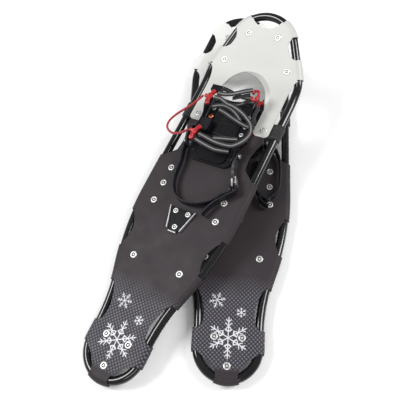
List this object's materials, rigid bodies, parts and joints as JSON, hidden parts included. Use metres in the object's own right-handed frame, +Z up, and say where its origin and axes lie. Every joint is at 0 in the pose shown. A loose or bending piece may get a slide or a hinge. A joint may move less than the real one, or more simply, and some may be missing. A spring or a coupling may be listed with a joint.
{
  "type": "snowshoe pair",
  "caption": "Pair of metal-framed snowshoes lying crossed: decks wrapped on bent tube frames, turned-up heads, pivoting lace bindings, heel straps and crampons.",
  "frame": {"origin": "centre of the bounding box at floor level, under the crampon points the pair stands on", "axes": "+Y along the lower shoe from tail to head (the longest extent), +X to its right, +Z up (the shortest extent)"},
  "size_m": [0.3772, 0.7813, 0.1788],
  "materials": {
    "frame": "glossy black powder coat on aluminium tube",
    "ferrule": "plain mill finish",
    "deck": "matte coated sheet with a printed pattern at the tail",
    "toe_deck": "smooth off-white coated sheet",
    "rivets": "bright tubular rivets",
    "webbing": "woven black webbing",
    "steel": "bright zinc plate",
    "crampon_steel": "bare pressed steel",
    "black_steel": "black coated pressed steel",
    "plate": "moulded, fine texture",
    "tread": "ribbed, matte",
    "binding": "moulded, satin",
    "lace": "flat black webbing lace with a grey tracer",
    "red_plastic": "moulded red",
    "red_cord": "braided red cord",
    "copper": "copper-coloured",
    "strap": "moulded strap, satin"
  },
  "bodies": {
    "base_shoe": {"base_frame_tube": "frame", "base_tail_ferrule": "ferrule", "base_main_deck": "deck", "base_toe_deck": "toe_deck", "base_deck_rivets": "rivets", "base_toe_deck_rivets": "rivets", "base_pivot_straps": "webbing", "base_pivot_rod": "steel", "base_heel_crampon": "crampon_steel", "base_heel_plate": "plate", "base_heel_plate_rivets": "rivets"},
    "base_binding": {"base_foot_plate": "plate", "base_toe_crampon": "black_steel", "base_tread_panel": "tread", "base_heel_pad": "tread", "base_left_wing": "binding", "base_right_wing": "binding", "base_wing_rivets": "rivets", "base_strap_pins": "steel", "base_lace": "lace", "base_front_guide": "red_plastic", "base_rear_guide": "red_plastic", "base_ring_guide": "red_plastic", "base_pull_loop": "red_cord"},
    "base_strap": {"base_heel_strap": "strap"},
    "base_link": {"base_ladder_link": "steel", "base_buckle_frame": "steel"},
    "base_lever": {"base_buckle_lever": "steel"},
    "top_shoe": {"top_frame_tube": "frame", "top_tail_ferrule": "ferrule", "top_main_deck": "deck", "top_toe_deck": "toe_deck", "top_deck_rivets": "rivets", "top_toe_deck_rivets": "rivets", "top_pivot_straps": "webbing", "top_pivot_rod": "steel", "top_heel_crampon": "crampon_steel", "top_heel_plate": "plate", "top_heel_plate_rivets": "rivets"},
    "top_binding": {"top_foot_plate": "plate", "top_toe_crampon": "black_steel", "top_tread_panel": "tread", "top_heel_pad": "tread", "top_left_wing": "binding", "top_right_wing": "binding", "top_wing_rivets": "rivets", "top_strap_pins": "steel", "top_lace": "lace", "top_front_guide": "red_plastic", "top_rear_guide": "red_plastic", "top_ring_guide": "red_plastic", "top_copper_rivet": "copper", "top_lace_tails": "lace", "top_front_arm": "binding", "top_lace_lock": "binding"},
    "top_strap": {"top_heel_strap": "strap", "top_ladder_link": "steel", "top_buckle_frame": "steel"},
    "top_lever": {"top_buckle_lever": "steel"},
    "top_loop": {"top_pull_loop": "red_cord"}
  },
  "joints": [
    {"name": "upper_shoe_lift", "type": "slide", "parent": "base_shoe", "child": "top_shoe", "axis": [0, 0, 1], "range_m": [0, 0.25]},
    {"name": "top_binding_pivot", "type": "hinge", "parent": "top_shoe", "child": "top_binding", "pos_m": [0.05248, 0.11152, 0.08244], "axis": [-0.8919, 0.3971, -0.2164], "range_deg": [0, 40]},
    {"name": "base_binding_pivot", "type": "hinge", "parent": "base_shoe", "child": "base_binding", "pos_m": [0.06538, 0.16576, 0.0205], "axis": [-1, 0, 0], "range_deg": [0, 40]},
    {"name": "top_heel_strap_swing", "type": "hinge", "parent": "top_binding", "child": "top_strap", "pos_m": [0.01815, 0.04116, 0.0948], "axis": [-0.8919, 0.3971, -0.2164], "range_deg": [0, 60]},
    {"name": "top_buckle_lever_hinge", "type": "hinge", "parent": "top_strap", "child": "top_lever", "pos_m": [0.06727, -0.03873, 0.10489], "axis": [0.2478, 0.0288, -0.9684], "range_deg": [0, 90]},
    {"name": "top_pull_loop_swing", "type": "hinge", "parent": "top_binding", "child": "top_loop", "pos_m": [-0.01574, 0.10663, 0.12034], "axis": [0.3056, 0.9438, 0.1262], "range_deg": [-8, 60]},
    {"name": "base_heel_strap_swing", "type": "hinge", "parent": "base_binding", "child": "base_strap", "pos_m": [0.06538, 0.08976, 0.043], "axis": [-1, 0, 0], "range_deg": [0, 45]},
    {"name": "base_link_swing", "type": "hinge", "parent": "base_binding", "child": "base_link", "pos_m": [0.06538, 0.08976, 0.043], "axis": [-1, 0, 0], "range_deg": [0, 45]},
    {"name": "base_buckle_lever_hinge", "type": "hinge", "parent": "base_link", "child": "base_lever", "pos_m": [-0.01233, 0.0363, 0.0429], "axis": [0, 0, 1], "range_deg": [0, 60]}
  ],
  "couplings": [
    {"joint": "top_binding_pivot", "follows": "upper_shoe_lift", "rad_per_m": 2.7925},
    {"joint": "base_binding_pivot", "follows": "upper_shoe_lift", "rad_per_m": 2.7925},
    {"joint": "base_heel_strap_swing", "follows": "upper_shoe_lift", "rad_per_m": 3.1416},
    {"joint": "base_link_swing", "follows": "upper_shoe_lift", "rad_per_m": 3.1416},
    {"joint": "base_buckle_lever_hinge", "follows": "upper_shoe_lift", "rad_per_m": 4.1888}
  ]
}
